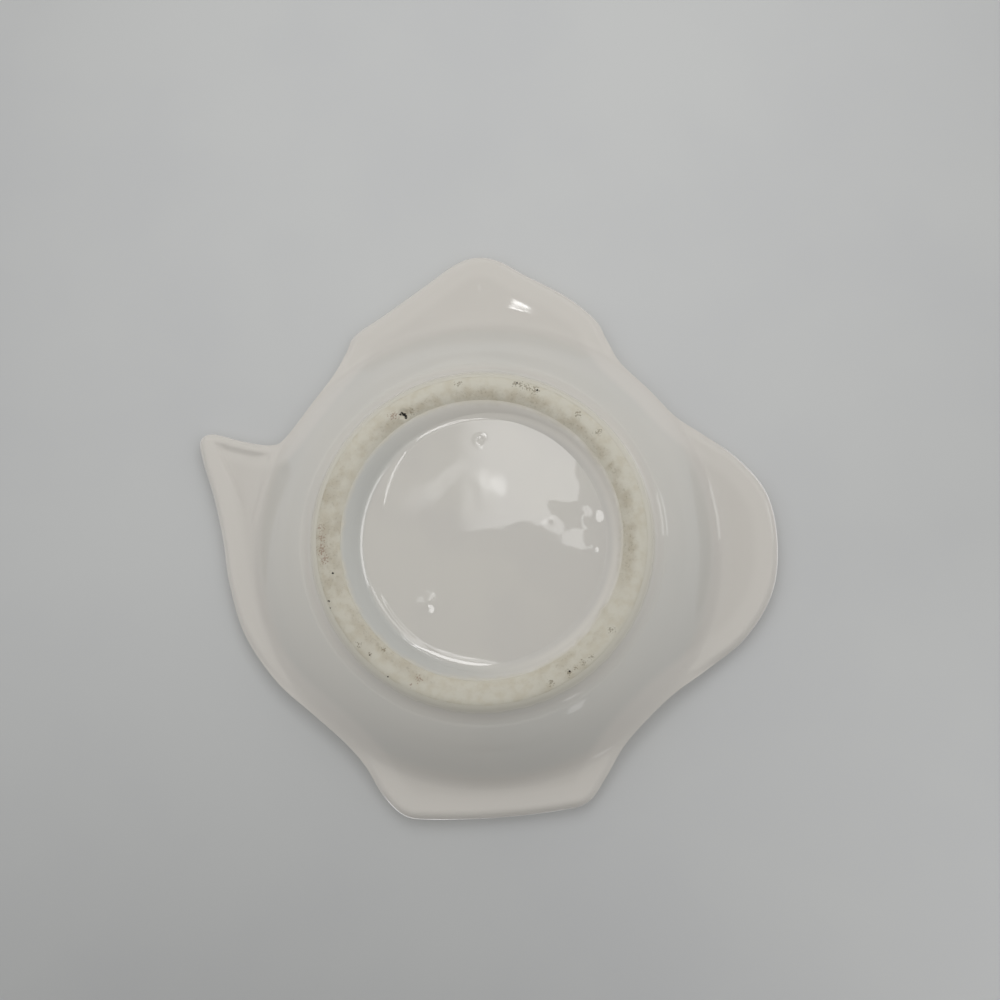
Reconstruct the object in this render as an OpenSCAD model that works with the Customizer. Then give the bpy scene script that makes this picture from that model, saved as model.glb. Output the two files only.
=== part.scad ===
// Tea bag rest: a small glazed porcelain dish whose flat rim has the outline of a teapot.
// The foot ring stands on z = 0 and the dish opens upward. The lid points to +Y and the spout to +X.
// Sizes are in millimetres and are those of the finished, glazed surface.

/* [Bowl] */
// Diameter of the round bowl, just under the rim
bowl_d = 90; // [80:1:110]
// Height of the whole dish, from the foot ring to the top of the rim's bead
total_h = 18; // [16:0.5:24]
// Thickness of the bowl's wall at the well's mouth
wall_t = 3.2; // [2.4:0.1:5]
// Diameter of the well's flat floor
well_floor_d = 62; // [50:1:68]
// Thickness of the floor between the well and the recess under it
floor_t = 3.4; // [3:0.1:4.4]
// Radius of the soft edge round the well's mouth
mouth_round = 1; // [0.6:0.1:1.2]

/* [Foot ring] */
// Diameter of the bare band's outer edge
foot_d = 61.2; // [56:0.2:64]
// Width of the bare band that has no glaze
bare_w = 4.4; // [3.6:0.2:6]
// Height of the bare band's edges above the table
bare_h = 0.8; // [0.5:0.1:1.2]
// Width of the ground face that the dish stands on
ground_w = 2; // [1:0.1:2.4]
// Height of the foot ring's outer side, up to the bowl
foot_h = 4; // [3.4:0.2:5]
// Spread of the foot ring's outer side, from the bare band to the bowl
foot_spread = 3.4; // [2.6:0.2:4]
// Depth of the glazed recess inside the foot ring
recess_h = 3; // [2:0.2:3.2]
// Spread of the recess's sloping side
recess_spread = 2.9; // [2:0.1:4]

/* [Rim] */
// Thickness of the flat rim
rim_t = 2.9; // [2.4:0.1:3.6]
// Height of the rounded bead above the rim's upper face
bead_over = 0.45; // [0.2:0.05:0.8]
// Drop of the bead below the rim's lower face
bead_under = 0.1; // [0.05:0.05:0.6]
// Distance from the outline to the bead's crest
bead_crest = 1.8; // [1.2:0.1:2]
// Run from the bead's crest down to the flat of the rim
bead_run = 1.5; // [1:0.1:2.4]
// Depth of the shallow trough under the lid, spout and handle, inside the bead
trough_h = 0.4; // [0.1:0.1:0.8]
// Width of the rim's flat from which the trough has its full depth
trough_w = 6; // [4:0.5:10]
// How far the rim stands out from the bowl between the teapot's parts
lip = 0.3; // [0.2:0.1:1]

/* [Teapot outline] */
// How far the spout's tip stands out from the bowl
spout_out = 16.4; // [12:0.2:20]
// How far the lid's knob stands out from the bowl
lid_out = 15; // [10:0.5:20]
// How far the handle stands out from the bowl
handle_out = 11.9; // [8:0.1:16]
// How far the corners of the teapot's base stand out from the bowl
base_out = 8.1; // [6:0.1:12]
// How far the belly stands out from the bowl, below the spout
belly_out = 6; // [4:0.1:8]

/* [Glaze] */
// Thickness of the glaze
glaze_t = 0.3; // [0.2:0.05:0.4]

/* [Hidden] */

bowl_r = bowl_d / 2;
well_r = bowl_r - wall_t;
well_floor_r = well_floor_d / 2;
well_floor_h = recess_h + floor_t;
bare_outer_r = foot_d / 2;
bare_inner_r = bare_outer_r - bare_w;
root_r = bare_outer_r + foot_spread;
recess_floor_r = bare_inner_r - recess_spread;

// Levels of the rim's flat faces and of the bead's middle
rim_top_z = total_h - bead_over;
rim_under_z = rim_top_z - rim_t;
bead_under_z = rim_under_z - bead_under;
bead_mid_z = (total_h + bead_under_z) / 2;
bead_half_t = (total_h - bead_under_z) / 2;

// Run of the fillet between the bowl's outer side and the rim's flat
fillet_run = 1;
fillet_r = bowl_r + fillet_run;

// Share of the bowl's outer rise that climbs evenly; the rest swings up in an S from this share of the way
wall_even_share = 0.6;
wall_swing_start_share = 0.2;
// Share of the well's rise that climbs evenly; the rest curls up like a quarter round
well_even_share = 0.25;

// Where the loft's rings lie along the bowl's outer side, along the well, and round the bead in degrees
wall_ring_shares = [0.3, 0.55, 0.72, 0.87];
well_ring_shares = [0.85, 0.5, 0];
bead_ring_angles = [60, 30];

// Middle of the foot ring's outer side, as shares of its spread and height
flank_spread_share = 0.4;
flank_height_share = 0.45;
// Middle of the recess's side, as shares of its spread and height
recess_mid_spread_share = 0.55;
recess_mid_height_share = 0.6;

// Flat that each ring of the bowl leaves free inside the bead where the rim is at its narrowest
narrow_gap = 0.6;

// How far the bare crest stands in from the glaze, and how deep it is rooted in the foot
bare_step = 0.15;
crest_root = 0.4;
// Shape of the bare crest's shoulders, as a share of their width and of the bare band's height
shoulder_share = 0.35;

// Steps of the curve between two points of the outline, and fineness of the round crest
curve_steps = 2;
crest_fn = 180;

// The teapot's outline: an angle in degrees from +X, and a share of how far that part stands out
spout_shares = [[4, 0.415], [13, 0.60], [20, 0.87], [23.6, 1], [25.8, 0.90], [26.9, 0.52],
                [28.6, 0.16], [32, 0.03]];
lid_shares = [[44, 0.02], [52, 0.10], [57.5, 0.25], [61.5, 0.40], [70, 0.485], [80, 0.70],
              [86.5, 0.92], [91, 1], [95.5, 0.94], [101, 0.77], [110, 0.60], [118, 0.43],
              [123, 0.22], [129, 0.04]];
handle_shares = [[139, 0], [148, 0.04], [155, 0.27], [163, 0.64], [172, 0.94], [182, 1],
                 [192, 0.94], [202, 0.68], [212, 0.29], [221, 0.05]];
base_shares = [[231, 0.01], [238.5, 0.16], [245, 0.53], [250.5, 0.87], [256, 0.85], [270, 0.77],
               [284, 0.94], [289.5, 1], [295, 0.73], [301, 0.31], [308, 0.10]];
belly_shares = [[318, 0.13], [330, 0.45], [343, 0.78], [355, 0.95]];

function polar(r, a) = [r * cos(a), r * sin(a)];
function lobe(out, shares) = [for (s = shares) polar(bowl_r + lip + out * s[1], s[0])];
outline_points = concat(
    lobe(spout_out, spout_shares),
    lobe(lid_out, lid_shares),
    lobe(handle_out, handle_shares),
    lobe(base_out, base_shares),
    lobe(belly_out, belly_shares)
);

// A smooth closed curve through the outline's points (Catmull-Rom)
function wrap(list, i) = list[(i + len(list)) % len(list)];
function curve_point(a, b, c, d, t) =
    (2 * b + (c - a) * t + (2 * a - 5 * b + 4 * c - d) * t * t
     + (3 * b - a - 3 * c + d) * t * t * t) / 2;
outline = [
    for (i = [0 : len(outline_points) - 1], step = [0 : curve_steps - 1])
        curve_point(wrap(outline_points, i - 1), outline_points[i], wrap(outline_points, i + 1),
                    wrap(outline_points, i + 2), step / curve_steps)
];
spokes = [0 : len(outline) - 1];

// The outline moved in by a distance, square to itself
function inward(i) =
    let (along = wrap(outline, i + 1) - wrap(outline, i - 1))
    [-along[1], along[0]] / norm(along);
function moved_in(i, distance) = outline[i] + inward(i) * distance;

// The loft's spokes run out from the middle to the crest of the bead
crest_points = [for (i = spokes) moved_in(i, bead_crest)];
angles = [for (p = crest_points) atan2(p[1], p[0])];

// Height of the bowl's outer side and of the well at a radius
function part_way(r, from_r, to_r) = max(0, min(1, (r - from_r) / (to_r - from_r)));
function swing(u) = u * u * (3 - 2 * u);
function wall_rise(u) =
    wall_even_share * u + (1 - wall_even_share) * swing(part_way(u, wall_swing_start_share, 1));
function well_rise(u) = well_even_share * u + (1 - well_even_share) * (1 - sqrt(1 - u * u));
function wall_z(r) = foot_h + (rim_under_z - foot_h) * wall_rise(part_way(r, root_r, fillet_r));
function well_z(r) =
    well_floor_h
    + (rim_top_z - mouth_round - well_floor_h) * well_rise(part_way(r, well_floor_r, well_r));

// The underside of the rim is cut off by the bowl's side wherever that lies lower
function under_z(p, rim_z) = norm(p) < bowl_r ? min(rim_z, wall_z(norm(p))) : rim_z;
function lifted(p, z) = [p[0], p[1], z];

// A ring of the loft at one radius, drawn in where the rim is too narrow for it
function circle_ring(r, z) = [for (a = angles) lifted(polar(r, a), z)];
function fitted_r(i, r, rank) = min(r, norm(crest_points[i]) - narrow_gap * rank);
function wall_ring(share, rank) = [
    for (i = spokes)
        let (r = fitted_r(i, root_r + (fillet_r - root_r) * share, rank))
        lifted(polar(r, angles[i]), wall_z(r))
];
function land_ring(r, z, rank) = [for (i = spokes) lifted(polar(fitted_r(i, r, rank), angles[i]), z)];

// A ring of the rim's bead, at an angle from the outline towards the crest
function bead_ring(angle, side) = [
    for (i = spokes)
        let (p = moved_in(i, bead_crest * (1 - cos(angle))), z = bead_mid_z + side * bead_half_t * sin(angle))
        lifted(p, side < 0 ? under_z(p, z) : z)
];

// The foot of the bead, a short run from its crest towards the next ring inside
function bead_foot_ring(crest, inner, side) = [
    for (i = spokes)
        let (
            crest_p = [crest[i][0], crest[i][1]],
            way = [inner[i][0], inner[i][1]] - crest_p,
            run = min(bead_run, norm(way) / 2),
            p = crest_p + way * run / norm(way),
            drop_share = run / bead_run
        )
        side < 0
        ? lifted(p, under_z(p, bead_under_z + bead_under * drop_share))
        : lifted(p, total_h - bead_over * drop_share)
];

// The bottom of the trough lies half way between the bowl and the foot of the bead
function trough_ring(inner, outer) = [
    for (i = spokes)
        let (
            width = norm([outer[i][0], outer[i][1]] - [inner[i][0], inner[i][1]]),
            depth = trough_h * min(1, width / trough_w)
        )
        (inner[i] + outer[i]) / 2 + [0, 0, depth]
];

// Rings of the glazed surface, from the bare band's outer edge round the rim and down into the well
junction_ring = wall_ring(1, 1);
under_crest = bead_ring(90, -1);
under_foot_ring = bead_foot_ring(under_crest, junction_ring, -1);
over_crest = bead_ring(90, 1);
land_edge_ring = land_ring(well_r + mouth_round, rim_top_z, 1);
coat_rings = concat(
    [circle_ring(bare_outer_r, bare_h)],
    [circle_ring(bare_outer_r + foot_spread * flank_spread_share,
                 bare_h + (foot_h - bare_h) * flank_height_share)],
    [circle_ring(root_r, foot_h)],
    [for (i = [0 : len(wall_ring_shares) - 1])
        wall_ring(wall_ring_shares[i], len(wall_ring_shares) + 1 - i)],
    [junction_ring, trough_ring(junction_ring, under_foot_ring), under_foot_ring, under_crest],
    [for (angle = bead_ring_angles) bead_ring(angle, -1)],
    [bead_ring(0, -1)],
    [for (i = [len(bead_ring_angles) - 1 : -1 : 0]) bead_ring(bead_ring_angles[i], 1)],
    [over_crest, bead_foot_ring(over_crest, land_edge_ring, 1), land_edge_ring],
    [circle_ring(well_r, rim_top_z - mouth_round)],
    [for (share = well_ring_shares)
        let (r = well_floor_r + (well_r - well_floor_r) * share)
        circle_ring(r, well_z(r))]
);
coat_pole = [0, 0, well_floor_h];

// Rings of the glazed recess, from its floor out to the bare band's inner edge
recess_rings = [
    circle_ring(recess_floor_r, recess_h),
    circle_ring(recess_floor_r + recess_spread * recess_mid_spread_share,
                bare_h + (recess_h - bare_h) * recess_mid_height_share),
    circle_ring(bare_inner_r, bare_h)
];
recess_pole = [0, 0, recess_h];

// The clay's surface lies under the glaze by its thickness, square to the glazed surface
function unit(v) = v / norm(v);
function surface_normal(rings, j, i) =
    let (
        before = rings[max(j - 1, 0)][i],
        after = rings[min(j + 1, len(rings) - 1)][i],
        ahead = wrap(rings[j], i + 1),
        behind = wrap(rings[j], i - 1)
    )
    unit(cross(ahead - behind, after - before));
// At the bare band the glaze ends level, so there the clay lies beside it
function under_glaze(rings, level_ring, level_side) = [
    for (j = [0 : len(rings) - 1]) [
        for (i = spokes)
            j == level_ring
            ? rings[j][i] - lifted(polar(glaze_t * level_side, angles[i]), 0)
            : rings[j][i] - surface_normal(rings, j, i) * glaze_t
    ]
];
clay_coat_rings = under_glaze(coat_rings, 0, 1);
clay_recess_rings = under_glaze(recess_rings, len(recess_rings) - 1, -1);
clay_coat_pole = coat_pole - [0, 0, glaze_t];
clay_recess_pole = recess_pole + [0, 0, glaze_t];

function reversed(list) = [for (i = [len(list) - 1 : -1 : 0]) list[i]];

// A closed solid through a stack of rings, with a point at each end.
// Each four-sided facet is split along its shorter diagonal, so that two skins that share rings fit.
module stack(first, rings, last) {
    n = len(rings[0]);
    tops = len(rings) - 1;
    points = concat([first], [for (ring = rings) each ring], [last]);
    function at(j, i) = 1 + j * n + (i + n) % n;
    function gap(a, b) = norm(points[a] - points[b]);
    function split(a, b, c, d) = gap(a, c) < gap(b, d) ? [[a, b, c], [a, c, d]] : [[a, b, d], [b, c, d]];
    polyhedron(
        points = points,
        faces = concat(
            [for (i = [0 : n - 1]) [0, at(0, i), at(0, i + 1)]],
            [for (j = [0 : tops - 1], i = [0 : n - 1])
                each split(at(j, i), at(j + 1, i), at(j + 1, i + 1), at(j, i + 1))],
            [for (i = [0 : n - 1]) [at(tops, i), n * len(rings) + 1, at(tops, i + 1)]]
        )
    );
}

// The bare crest of the foot ring, ground flat where it stands
module bare_crest() {
    outer_r = bare_outer_r - glaze_t - bare_step;
    inner_r = bare_inner_r + glaze_t + bare_step;
    shoulder_w = (outer_r - inner_r - ground_w) / 2;
    rotate_extrude($fn = crest_fn)
        polygon([
            [inner_r, bare_h + crest_root],
            [inner_r, bare_h],
            [inner_r + shoulder_w * shoulder_share, bare_h * shoulder_share],
            [inner_r + shoulder_w, 0],
            [outer_r - shoulder_w, 0],
            [outer_r - shoulder_w * shoulder_share, bare_h * shoulder_share],
            [outer_r, bare_h],
            [outer_r, bare_h + crest_root]
        ]);
}

// Fired clay: bowl, foot ring and teapot-shaped rim, made in one piece
module clay_body() {
    color("#e9e4d6")
        union() {
            stack(clay_recess_pole, concat(clay_recess_rings, clay_coat_rings), clay_coat_pole);
            bare_crest();
        }
}

// Glaze over all of the dish outside the foot ring's bare band
module glaze_coat() {
    color("#f2f0ea")
        stack(clay_coat_pole, concat(reversed(clay_coat_rings), coat_rings), coat_pole);
}

// Glaze in the recess inside the foot ring
module recess_glaze() {
    color("#f4f3ef")
        stack(recess_pole, concat(recess_rings, reversed(clay_recess_rings)), clay_recess_pole);
}

clay_body();
glaze_coat();
recess_glaze();
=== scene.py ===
"""Looks of the tea bag rest: a glazed porcelain dish that lies face down on pale paper, as photographed."""

import math

import bpy
import numpy as np
from mathutils import Matrix, Vector, noise

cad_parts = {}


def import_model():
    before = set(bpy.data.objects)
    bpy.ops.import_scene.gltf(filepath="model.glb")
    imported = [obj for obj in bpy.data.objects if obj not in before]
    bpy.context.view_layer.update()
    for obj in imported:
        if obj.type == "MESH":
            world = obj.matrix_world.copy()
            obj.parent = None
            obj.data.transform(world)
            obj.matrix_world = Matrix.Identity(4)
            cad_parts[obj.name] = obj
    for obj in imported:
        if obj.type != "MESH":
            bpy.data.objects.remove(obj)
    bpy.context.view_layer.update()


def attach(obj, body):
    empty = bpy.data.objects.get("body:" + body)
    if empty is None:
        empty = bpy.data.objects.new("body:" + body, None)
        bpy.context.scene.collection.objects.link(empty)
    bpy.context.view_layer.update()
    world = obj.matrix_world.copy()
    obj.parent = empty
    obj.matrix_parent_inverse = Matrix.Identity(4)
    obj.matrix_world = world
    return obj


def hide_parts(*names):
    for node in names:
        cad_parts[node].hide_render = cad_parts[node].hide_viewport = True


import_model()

# Every size below is in millimetres, in the part's frame: the foot ring stands on z = 0
MM = 0.001

# Bowl and rim
BOWL_R = 45.0
TOTAL_H = 18.0
LIP = 0.3
RIM_TOP_Z = 17.55
RIM_UNDER_Z = 14.65
BEAD_UNDER_Z = 14.6
BEAD_MID_Z = (TOTAL_H + BEAD_UNDER_Z) / 2
BEAD_HALF_T = (TOTAL_H - BEAD_UNDER_Z) / 2
BEAD_CREST = 1.8
BEAD_RUN = 1.5
JUNCTION_R = 46.2
NARROW_GAP = 1.0

# Foot ring and recess
BARE_OUTER_R = 30.6
BARE_INNER_R = 26.2
BARE_H = 0.8
ROOT_R = 34.2
RECESS_H = 3.0
RECESS_FLOOR_R = 23.6
RECESS_CENTRE = np.array([-0.96, -0.3])
RECESS_SIDE_END_Z = BARE_H - 0.02

# Well
WELL_R = 41.8
WELL_FLOOR_R = 31.0
WELL_FLOOR_Z = 6.4
MOUTH_ROUND = 1.0
# Share of the well's wall that climbs evenly; the rest curls up like a quarter round
WELL_EVEN_SHARE = 0.25

# Sections as short tables of radius and height, joined by smooth curves
FLANK = [(30.6, 0.4), (31.1, 0.77), (31.5, 1.3), (31.9, 2.0), (32.4, 2.82), (33.0, 3.38),
         (33.7, 3.8), (34.4, 4.14), (35.0, 4.46)]
WALL = FLANK + [(36.0, 5.08), (37.0, 5.77), (38.0, 6.55), (39.0, 7.45), (40.0, 8.47), (41.0, 9.62),
                (42.0, 10.85), (43.0, 12.08), (44.0, 13.18), (44.8, 13.86), (45.5, 14.28),
                (46.3, 14.6), (47.5, 14.9), (60.0, 18.0)]
CREST = [(26.2, 0.8), (26.5, 0.58), (26.9, 0.35), (27.5, 0.12), (28.3, 0.01), (28.9, 0.0),
         (29.4, 0.02), (30.0, 0.12), (30.55, 0.38), (30.62, 0.43), (30.8, 0.7)]
# How the recess's side falls from its floor to the bare band: share of the way, share of the drop
RECESS_SIDE = [(0.0, 0.0), (0.06, 0.015), (0.16, 0.1), (0.32, 0.33), (0.6, 0.69), (0.82, 0.9), (1.0, 1.0)]
# The glaze gathers in a fillet along the floor's edge: its usual radius and its slope where the side starts
EDGE_FILLET_R = 4.0
EDGE_SLOPE = 0.2
# Where the gathered glaze is thicker or thinner: azimuth round the recess, spread, and change of radius
EDGE_POOLS = [(-75.0, 17.0, 10.0), (-42.0, 22.0, 2.5), (178.0, 70.0, -3.3), (206.0, 24.0, 0.9)]
# Low steps in the glaze inside that edge: azimuth and radius at both ends, and height
GLAZE_STEPS = [((11.0, 20.2), (60.0, 23.1), 0.09), ((-62.0, 22.3), (-22.0, 22.0), 0.08)]
STEP_HALF_W = 0.42
# Shares of a step's length along which it grows and fades
STEP_RISE = (-0.1, 0.35)
STEP_FADE = (0.75, 1.1)

# The teapot's outline: how far each part stands out, with angles in degrees from +X and shares of that
LOBES = {
    "spout": (16.4, [(4, 0.415), (13, 0.60), (20, 0.87), (23.6, 1), (25.8, 0.90), (26.9, 0.52),
                     (28.6, 0.16), (32, 0.03)]),
    "lid": (15.0, [(44, 0.02), (52, 0.10), (57.5, 0.25), (61.5, 0.40), (70, 0.485), (80, 0.70),
                   (86.5, 0.92), (91, 1), (95.5, 0.94), (101, 0.77), (110, 0.60), (118, 0.43),
                   (123, 0.22), (129, 0.04)]),
    "handle": (11.9, [(139, 0), (148, 0.04), (155, 0.27), (163, 0.64), (172, 0.94), (182, 1),
                      (192, 0.94), (202, 0.68), (212, 0.29), (221, 0.05)]),
    "base": (8.1, [(231, 0.01), (238.5, 0.16), (245, 0.53), (250.5, 0.87), (256, 0.85), (270, 0.77),
                   (284, 0.94), (289.5, 1), (295, 0.73), (301, 0.31), (308, 0.10)]),
    "belly": (6.0, [(318, 0.13), (330, 0.45), (343, 0.78), (355, 0.95)]),
}
CURVE_STEPS = 12

# The meshes' rings: how many from one place to the next or how far apart, and points all round.
# The outer share of the recess's floor has as many rings as all within it, and its side crowds
# them at its start.
FLANK_STEP = 0.3
WALL_RINGS = 26
RIM_RINGS = 16
TOP_RINGS = 12
WELL_RINGS = 26
WELL_FLOOR_STEP = 1.2
CREST_RINGS = 20
RECESS_FLOOR_RINGS = 45
FINE_SHARE = 0.2
RECESS_SIDE_RINGS = 26
SIDE_CROWDING = 1.3
ROUND_STEP = 15
AROUND_FOOT = 720
AROUND_RECESS = 480


def polar(r, degrees):
    angle = np.radians(degrees)
    return np.stack([r * np.cos(angle), r * np.sin(angle)], -1)


def smooth_closed(points, steps):
    """A closed Catmull-Rom curve through the points."""
    a, b, c, d = (np.roll(points, shift, 0) for shift in (1, 0, -1, -2))
    t = (np.arange(steps) / steps)[None, :, None]
    a, b, c, d = (p[:, None, :] for p in (a, b, c, d))
    curve = (2 * b + (c - a) * t + (2 * a - 5 * b + 4 * c - d) * t ** 2
             + (3 * b - a - 3 * c + d) * t ** 3) / 2
    return curve.reshape(-1, 2)


def smooth_table(table, x):
    """A smooth curve through a short table of points, which never swings past them."""
    xs, ys = np.array(table, float).T
    step = np.diff(xs)
    slope = np.diff(ys) / step
    product = slope[:-1] * slope[1:]
    total = np.where(product > 0, slope[:-1] + slope[1:], 1)
    inner = np.where(product > 0, 2 * product / total, 0)
    slopes = np.concatenate([slope[:1], inner, slope[-1:]])
    k = np.clip(np.searchsorted(xs, x) - 1, 0, len(step) - 1)
    t = np.clip((x - xs[k]) / step[k], 0, 1)
    return ((1 + 2 * t) * (1 - t) ** 2 * ys[k] + t * (1 - t) ** 2 * step[k] * slopes[k]
            + t * t * (3 - 2 * t) * ys[k + 1] + t * t * (t - 1) * step[k] * slopes[k + 1])


def ease(x, low, high):
    """Rises smoothly from 0 to 1 between two values."""
    t = np.clip((x - low) / (high - low), 0, 1)
    return t * t * (3 - 2 * t)


def soft_min(a, b, blend):
    """The lower of two surfaces, with a fillet where they cross."""
    h = np.clip(0.5 + 0.5 * (b - a) / blend, 0, 1)
    return b + (a - b) * h - blend * h * (1 - h)


def wobble(points, feature, seed):
    """Smooth noise from about -1 to 1 with features of one size, always the same for the same place."""
    flat = np.asarray(points, float).reshape(-1, points.shape[-1]) / feature
    padded = np.zeros((len(flat), 3))
    padded[:, :flat.shape[1]] = flat
    padded[:, 2] += seed
    values = [noise.noise(Vector(p)) for p in padded]
    return np.array(values).reshape(points.shape[:-1])


def away_from(points, x, y, size):
    """How far points lie from a place, in sizes of what stands there."""
    return np.hypot(points[..., 0] - x, points[..., 1] - y) / size


def lip(away, at, spread):
    """A low ridge round a hollow."""
    return np.exp(-((away - at) / spread) ** 2)


LOBE_POINTS = [polar(BOWL_R + LIP + out * share, angle)
               for out, table in LOBES.values() for angle, share in table]
OUTLINE = smooth_closed(np.array(LOBE_POINTS), CURVE_STEPS)
ALONG = np.roll(OUTLINE, -1, 0) - np.roll(OUTLINE, 1, 0)
INWARD = np.stack([-ALONG[:, 1], ALONG[:, 0]], 1) / np.hypot(*ALONG.T)[:, None]
CREST_POINTS = OUTLINE + INWARD * BEAD_CREST
CREST_R = np.hypot(*CREST_POINTS.T)
SPOKES = CREST_POINTS / CREST_R[:, None]


def edge_distance(points):
    """How far points lie from the teapot's outline."""
    flat = points.reshape(-1, 2)
    nearest = np.full(len(flat), np.inf)
    for start, end in zip(OUTLINE, np.roll(OUTLINE, -1, 0)):
        side = end - start
        t = np.clip((flat - start) @ side / (side @ side), 0, 1)
        nearest = np.minimum(nearest, np.hypot(*(flat - start - t[:, None] * side).T))
    return nearest.reshape(points.shape[:-1])


# Underside of the rim: how far its flat rises from the outline towards the bowl
FLAT_RISE = 0.2
FLAT_RUN = 7.0
FILLET = 0.35
# The spout's hollow web is a triangle between its band, the ridge along the bowl, and the outline
WEB_TIP = np.array([53.9, 24.0])
WEB_LOW = np.array([46.0, 6.6])
WEB_TOP = np.array([41.6, 21.6])
WEB_DEPTH = 0.7
WEB_SOFT = 1.3
WEB_FROM_OUTLINE = (0.8, 3.0)
RIDGE_H = 0.26
RIDGE_W = 0.55
RIDGE_SHIFT = 0.2
RIDGE_RISE = (-0.5, 1.0)
RIDGE_FADE = (-1.0, 4.0)


def side_distance(points, start, end):
    """How far points lie to the left of a line."""
    along = (end - start) / np.hypot(*(end - start))
    return along[0] * (points[..., 1] - start[1]) - along[1] * (points[..., 0] - start[0])


def under_z(points, distance):
    """Height of the underside from the foot to the outline."""
    r = np.hypot(points[..., 0], points[..., 1])
    edge = np.clip(1 - distance / BEAD_CREST, 0, 1)
    bead = BEAD_MID_Z - BEAD_HALF_T * np.sqrt(1 - edge ** 2)
    bead = bead + (RIM_UNDER_Z - BEAD_UNDER_Z) * ease(distance, BEAD_CREST, BEAD_CREST + BEAD_RUN)
    flat = FLAT_RISE * ease(distance, BEAD_CREST + BEAD_RUN, BEAD_CREST + BEAD_RUN + FLAT_RUN)
    band = side_distance(points, WEB_LOW, WEB_TIP)
    inner = side_distance(points, WEB_TOP, WEB_LOW)
    hollow = WEB_DEPTH * ease(band, 0, WEB_SOFT) * ease(inner, 0, WEB_SOFT)
    hollow = hollow * ease(distance, *WEB_FROM_OUTLINE)
    ridge = RIDGE_H * np.exp(-((inner + RIDGE_SHIFT) / RIDGE_W) ** 2) * ease(band, *RIDGE_RISE)
    ridge = ridge * ease(side_distance(points, WEB_TIP, WEB_TOP), *RIDGE_FADE)
    return soft_min(smooth_table(WALL, r), bead + flat + hollow, FILLET) - ridge


def ring(points, z):
    """Points with one height for all, or a height for each."""
    return np.concatenate([points, np.broadcast_to(z, points.shape[:-1])[..., None]], -1)


def shares(count, power=1.0):
    """Shares of a way, without its start and with its end."""
    return (np.arange(1, count + 1) / count) ** power


def under_rings():
    """From the bare band's outer edge to the outline's edge, all round."""
    rings = []
    for r in np.arange(BARE_OUTER_R, ROOT_R, FLANK_STEP):
        points = SPOKES * r
        rings.append(ring(points, smooth_table(WALL, np.full(len(points), r))))
    junction_r = np.minimum(JUNCTION_R, CREST_R - NARROW_GAP)
    for share in np.concatenate([[0], shares(WALL_RINGS)]):
        points = SPOKES * (ROOT_R + (junction_r - ROOT_R) * share)[:, None]
        rings.append(ring(points, under_z(points, edge_distance(points))))
    for share in shares(RIM_RINGS)[:-1]:
        points = SPOKES * (junction_r + (CREST_R - junction_r) * share)[:, None]
        rings.append(ring(points, under_z(points, edge_distance(points))))
    for angle in np.radians(np.arange(90, -1, -ROUND_STEP)):
        distance = BEAD_CREST * (1 - math.cos(angle))
        points = OUTLINE + INWARD * distance
        rings.append(ring(points, under_z(points, np.full(len(points), distance))))
    return rings


def over_rings():
    """From just over the outline's edge, across the rim and down to the well's floor."""
    rings = []
    for angle in np.radians(np.arange(ROUND_STEP, 91, ROUND_STEP)):
        points = OUTLINE + INWARD * BEAD_CREST * (1 - math.cos(angle))
        rings.append(ring(points, BEAD_MID_Z + BEAD_HALF_T * math.sin(angle)))
    mouth_r = np.minimum(WELL_R + MOUTH_ROUND, CREST_R - NARROW_GAP / 2)
    for share in shares(TOP_RINGS):
        points = SPOKES * (CREST_R + (mouth_r - CREST_R) * share)[:, None]
        drop = ease(edge_distance(points), BEAD_CREST, BEAD_CREST + BEAD_RUN)
        rings.append(ring(points, TOTAL_H - (TOTAL_H - RIM_TOP_Z) * drop))
    for angle in np.radians(np.arange(ROUND_STEP, 91, ROUND_STEP)):
        r = mouth_r + (WELL_R - mouth_r) * math.sin(angle)
        z = RIM_TOP_Z - MOUTH_ROUND * (1 - math.cos(angle))
        rings.append(ring(SPOKES * r[:, None], z))
    depth = RIM_TOP_Z - MOUTH_ROUND - WELL_FLOOR_Z
    for share in 1 - shares(WELL_RINGS):
        curl = 1 - math.sqrt(1 - share ** 2)
        climb = WELL_EVEN_SHARE * share + (1 - WELL_EVEN_SHARE) * curl
        r = WELL_FLOOR_R + (WELL_R - WELL_FLOOR_R) * share
        rings.append(ring(SPOKES * r, WELL_FLOOR_Z + depth * climb))
    for r in np.linspace(WELL_FLOOR_R - WELL_FLOOR_STEP, WELL_FLOOR_STEP, WELL_RINGS):
        rings.append(ring(SPOKES * r, WELL_FLOOR_Z))
    return rings


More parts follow.
